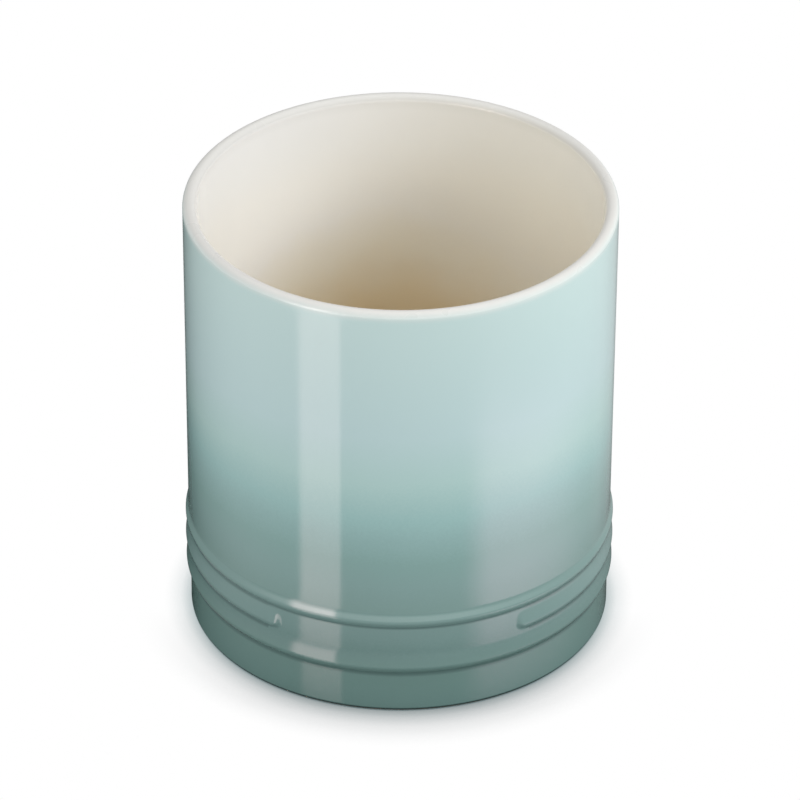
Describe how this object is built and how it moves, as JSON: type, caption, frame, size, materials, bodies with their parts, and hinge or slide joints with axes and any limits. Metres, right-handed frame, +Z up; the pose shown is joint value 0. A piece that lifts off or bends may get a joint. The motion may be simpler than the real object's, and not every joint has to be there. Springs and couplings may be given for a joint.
{
  "type": "utensil crock",
  "caption": "Straight round stoneware jar with a round lip, raised bands near its foot and a plain panel between the band's ends, open at the top to hold kitchen utensils.",
  "frame": {"origin": "centre of the jar's circular foot, on the surface it stands on", "axes": "+Z up along the jar's axis, -Y towards the viewer through the middle of the plain panel, +X to the viewer's right"},
  "size_m": [0.1502, 0.1502, 0.1625],
  "materials": {
    "stoneware": "bare fired clay, matte",
    "cream_glaze": "glossy cream glaze",
    "graded_glaze": "glossy glaze graded from pale aqua at the rim to grey green at the foot",
    "recess_glaze": "glossy grey green glaze"
  },
  "bodies": {
    "root": {"stoneware_body": "stoneware", "interior_glaze": "cream_glaze", "exterior_glaze": "graded_glaze", "underside_glaze": "recess_glaze"}
  },
  "joints": []
}
